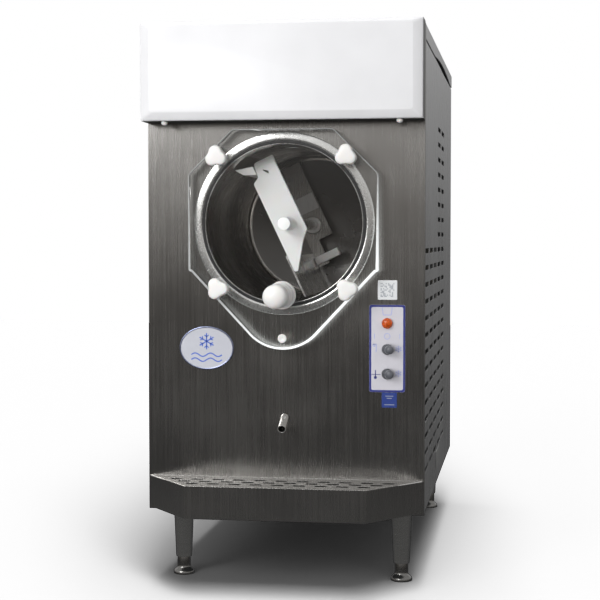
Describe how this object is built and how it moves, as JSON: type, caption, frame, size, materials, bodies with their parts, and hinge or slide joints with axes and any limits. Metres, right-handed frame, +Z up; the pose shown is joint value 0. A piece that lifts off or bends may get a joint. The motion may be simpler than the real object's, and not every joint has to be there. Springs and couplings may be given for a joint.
{
  "type": "frozen drink machine",
  "caption": "Countertop slush machine: stainless cabinet on four adjustable legs, blank sign box, clear faceplate with pull valve, turning beater, drip tray and toggle controls.",
  "frame": {"origin": "on the surface it stands on, in the middle of the bounding box", "axes": "+X to the right of someone facing the machine, +Y from its front to its back, +Z up"},
  "size_m": [0.39, 0.81, 0.785],
  "materials": {
    "stainless": "satin",
    "side_steel": "satin",
    "leg_steel": "satin",
    "polished_steel": "gloss",
    "galvanised": "matte",
    "sign_white": "satin",
    "white_plastic": "satin",
    "clear_plastic": "gloss",
    "black_rubber": "matte",
    "grey_rubber": "satin",
    "copper": "satin",
    "foam": "matte",
    "grey_paint": "satin",
    "black_paint": "satin",
    "black_plastic": "satin",
    "condenser_metal": "satin",
    "control_print": "satin",
    "amber_lens": "gloss",
    "label_white": "satin",
    "label_blue": "satin",
    "label_metal": "satin"
  },
  "bodies": {
    "cabinet": {"base_pan": "galvanised", "front_panel": "stainless", "left_panel": "side_steel", "right_panel": "side_steel", "rear_panel": "side_steel", "drain_tube": "polished_steel", "header_shell": "sign_white", "header_sign": "sign_white", "header_screw_left": "white_plastic", "header_screw_right": "white_plastic", "mix_hopper": "stainless", "feed_tube": "white_plastic", "freezing_cylinder": "polished_steel", "faceplate_gasket": "black_rubber", "evaporator_coil": "copper", "insulation_jacket": "foam", "stud_plate": "polished_steel", "faceplate": "clear_plastic", "valve_sleeve": "white_plastic", "spout_plug": "white_plastic", "shaft_seal": "black_rubber", "rear_bulkhead": "galvanised", "gearbox": "grey_paint", "drive_motor": "grey_paint", "compressor": "black_paint", "condenser": "condenser_metal", "fan_shroud": "black_paint", "fan_motor": "black_paint", "control_plate": "control_print", "indicator_lamp": "amber_lens", "control_box": "galvanised", "badge": "label_white", "code_label": "label_white", "service_label": "label_blue", "data_plate": "label_metal", "cable_gland": "black_plastic", "leg_front_left": "leg_steel", "leg_front_right": "leg_steel", "leg_rear_left": "leg_steel", "leg_rear_right": "leg_steel"},
    "beater": {"beater_shaft": "polished_steel", "beater_plate": "white_plastic", "beater_frame": "stainless", "upper_scraper": "white_plastic", "lower_scraper": "polished_steel"},
    "dispense_valve": {"valve_plunger": "white_plastic"},
    "knob_top_left": {"knob_top_left": "white_plastic"},
    "knob_top_right": {"knob_top_right": "white_plastic"},
    "knob_bottom_left": {"knob_bottom_left": "white_plastic"},
    "knob_bottom_right": {"knob_bottom_right": "white_plastic"},
    "beater_toggle": {"beater_toggle": "grey_rubber"},
    "freeze_toggle": {"freeze_toggle": "grey_rubber"},
    "lid": {"top_lid": "side_steel"},
    "drip_tray": {"drip_tray": "stainless"},
    "drip_grille": {"drip_grille": "stainless"},
    "condenser_fan": {"condenser_fan": "black_plastic"},
    "foot_front_left": {"foot_front_left": "leg_steel"},
    "foot_front_right": {"foot_front_right": "leg_steel"},
    "foot_rear_left": {"foot_rear_left": "leg_steel"},
    "foot_rear_right": {"foot_rear_right": "leg_steel"}
  },
  "joints": [
    {"name": "beater_spin", "type": "hinge", "parent": "cabinet", "child": "beater", "pos_m": [0, -0.307, 0.509], "axis": [0, 1, 0], "continuous": true},
    {"name": "valve_pull", "type": "slide", "parent": "cabinet", "child": "dispense_valve", "axis": [0, -1, 0], "range_m": [0, 0.018]},
    {"name": "knob_top_left_turn", "type": "hinge", "parent": "cabinet", "child": "knob_top_left", "pos_m": [-0.09, -0.337, 0.599], "axis": [0, -1, 0], "continuous": true},
    {"name": "knob_top_right_turn", "type": "hinge", "parent": "cabinet", "child": "knob_top_right", "pos_m": [0.09, -0.337, 0.599], "axis": [0, -1, 0], "continuous": true},
    {"name": "knob_bottom_left_turn", "type": "hinge", "parent": "cabinet", "child": "knob_bottom_left", "pos_m": [-0.09, -0.337, 0.419], "axis": [0, -1, 0], "continuous": true},
    {"name": "knob_bottom_right_turn", "type": "hinge", "parent": "cabinet", "child": "knob_bottom_right", "pos_m": [0.09, -0.337, 0.419], "axis": [0, -1, 0], "continuous": true},
    {"name": "beater_toggle_tilt", "type": "hinge", "parent": "cabinet", "child": "beater_toggle", "pos_m": [0.1435, -0.3085, 0.335], "axis": [0, 0, 1], "range_deg": [-14, 14]},
    {"name": "freeze_toggle_tilt", "type": "hinge", "parent": "cabinet", "child": "freeze_toggle", "pos_m": [0.1435, -0.3085, 0.301], "axis": [0, 0, 1], "range_deg": [-14, 14]},
    {"name": "lid_lift", "type": "slide", "parent": "cabinet", "child": "lid", "axis": [0, 0, 1], "range_m": [0, 0.15]},
    {"name": "drip_tray_lift", "type": "slide", "parent": "cabinet", "child": "drip_tray", "axis": [0, 0, 1], "range_m": [0, 0.012]},
    {"name": "drip_grille_lift", "type": "slide", "parent": "drip_tray", "child": "drip_grille", "axis": [0, 0, 1], "range_m": [0, 0.04]},
    {"name": "fan_spin", "type": "hinge", "parent": "cabinet", "child": "condenser_fan", "pos_m": [0, 0.278, 0.247], "axis": [0, 1, 0], "continuous": true},
    {"name": "foot_front_left_level", "type": "slide", "parent": "cabinet", "child": "foot_front_left", "axis": [0, 0, -1], "range_m": [-0.012, 0.012]},
    {"name": "foot_front_right_level", "type": "slide", "parent": "cabinet", "child": "foot_front_right", "axis": [0, 0, -1], "range_m": [-0.012, 0.012]},
    {"name": "foot_rear_left_level", "type": "slide", "parent": "cabinet", "child": "foot_rear_left", "axis": [0, 0, -1], "range_m": [-0.012, 0.012]},
    {"name": "foot_rear_right_level", "type": "slide", "parent": "cabinet", "child": "foot_rear_right", "axis": [0, 0, -1], "range_m": [-0.012, 0.012]}
  ]
}
